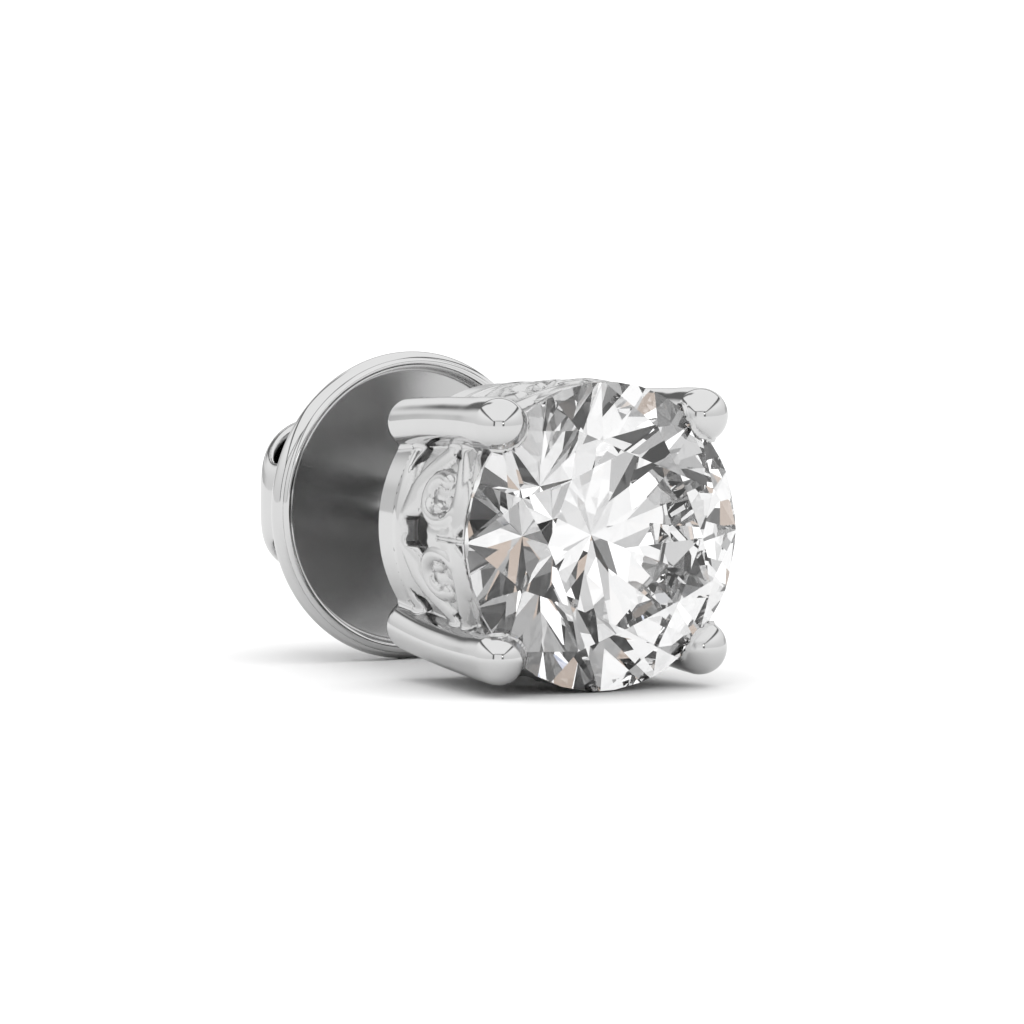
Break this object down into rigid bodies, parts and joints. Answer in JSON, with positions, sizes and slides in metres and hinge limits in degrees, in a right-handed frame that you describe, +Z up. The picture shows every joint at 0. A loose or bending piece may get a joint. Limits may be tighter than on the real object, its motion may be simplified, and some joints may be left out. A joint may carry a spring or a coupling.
{
  "type": "solitaire stud earring",
  "caption": "Stud earring: a round faceted stone in a prong basket with scroll piercing, on a straight post held by a dished disc and a curled friction nut.",
  "frame": {"origin": "on the surface the stud rests on, under the middle of its length and width", "axes": "+Y along the post from the stone's face to the post's tip, +Z up, +X to the right seen from the stone's face"},
  "size_m": [0.0065, 0.0136, 0.0065],
  "materials": {
    "stone": "cut and polished clear diamond",
    "white_gold": "cast, then mirror polished white gold",
    "white_gold_disc": "pressed white gold sheet, softly polished face and bright rim",
    "white_gold_strip": "rolled white gold strip, polished"
  },
  "bodies": {
    "stud": {"setting": "white_gold", "stone": "stone", "post": "white_gold"},
    "back": {"back_disc": "white_gold_disc", "back_nut": "white_gold_strip"}
  },
  "joints": [
    {"name": "back_slide", "type": "slide", "parent": "stud", "child": "back", "axis": [0, 1, 0], "range_m": [-0.0028, 0.01]}
  ]
}
